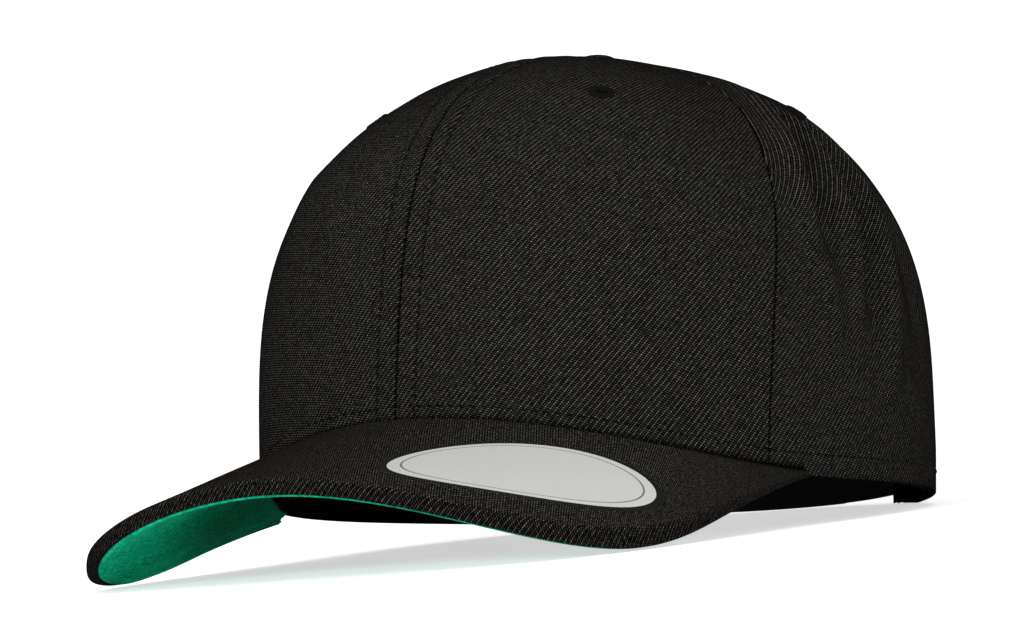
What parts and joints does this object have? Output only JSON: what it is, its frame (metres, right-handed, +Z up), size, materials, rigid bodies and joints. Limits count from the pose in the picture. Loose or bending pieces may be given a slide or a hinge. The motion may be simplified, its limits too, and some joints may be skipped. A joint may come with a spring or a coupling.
{
  "type": "snapback cap",
  "caption": "Plain structured baseball cap with an arched visor, green underside, stitched eyelets, a top button and a plastic snap closure across a half-moon opening.",
  "frame": {"origin": "the middle of the cap's footprint, on the surface that it rests on", "axes": "-Y to the visor, +X to the wearer's left, +Z up; the cap stands on the tips of its visor and its back corners"},
  "size_m": [0.1706, 0.261, 0.1296],
  "materials": {
    "crown_twill": "matte twill",
    "eyelet_thread": "satin thread",
    "visor_twill": "matte twill",
    "green_cloth": "matte",
    "sticker_foil": "satin silver",
    "sweatband_cloth": "matte",
    "strap_plastic": "satin"
  },
  "bodies": {
    "root": {"front_panel_left": "crown_twill", "front_panel_right": "crown_twill", "side_panel_left": "crown_twill", "side_panel_right": "crown_twill", "back_panel_left": "crown_twill", "back_panel_right": "crown_twill", "front_eyelet_left": "eyelet_thread", "front_eyelet_right": "eyelet_thread", "side_eyelet_left": "eyelet_thread", "side_eyelet_right": "eyelet_thread", "back_eyelet_left": "eyelet_thread", "back_eyelet_right": "eyelet_thread", "top_button": "crown_twill", "visor_cover": "visor_twill", "visor_underside": "green_cloth", "visor_sticker": "sticker_foil", "sweatband": "sweatband_cloth", "snap_strap_holes": "strap_plastic", "snap_strap_pegs": "strap_plastic"}
  },
  "joints": []
}
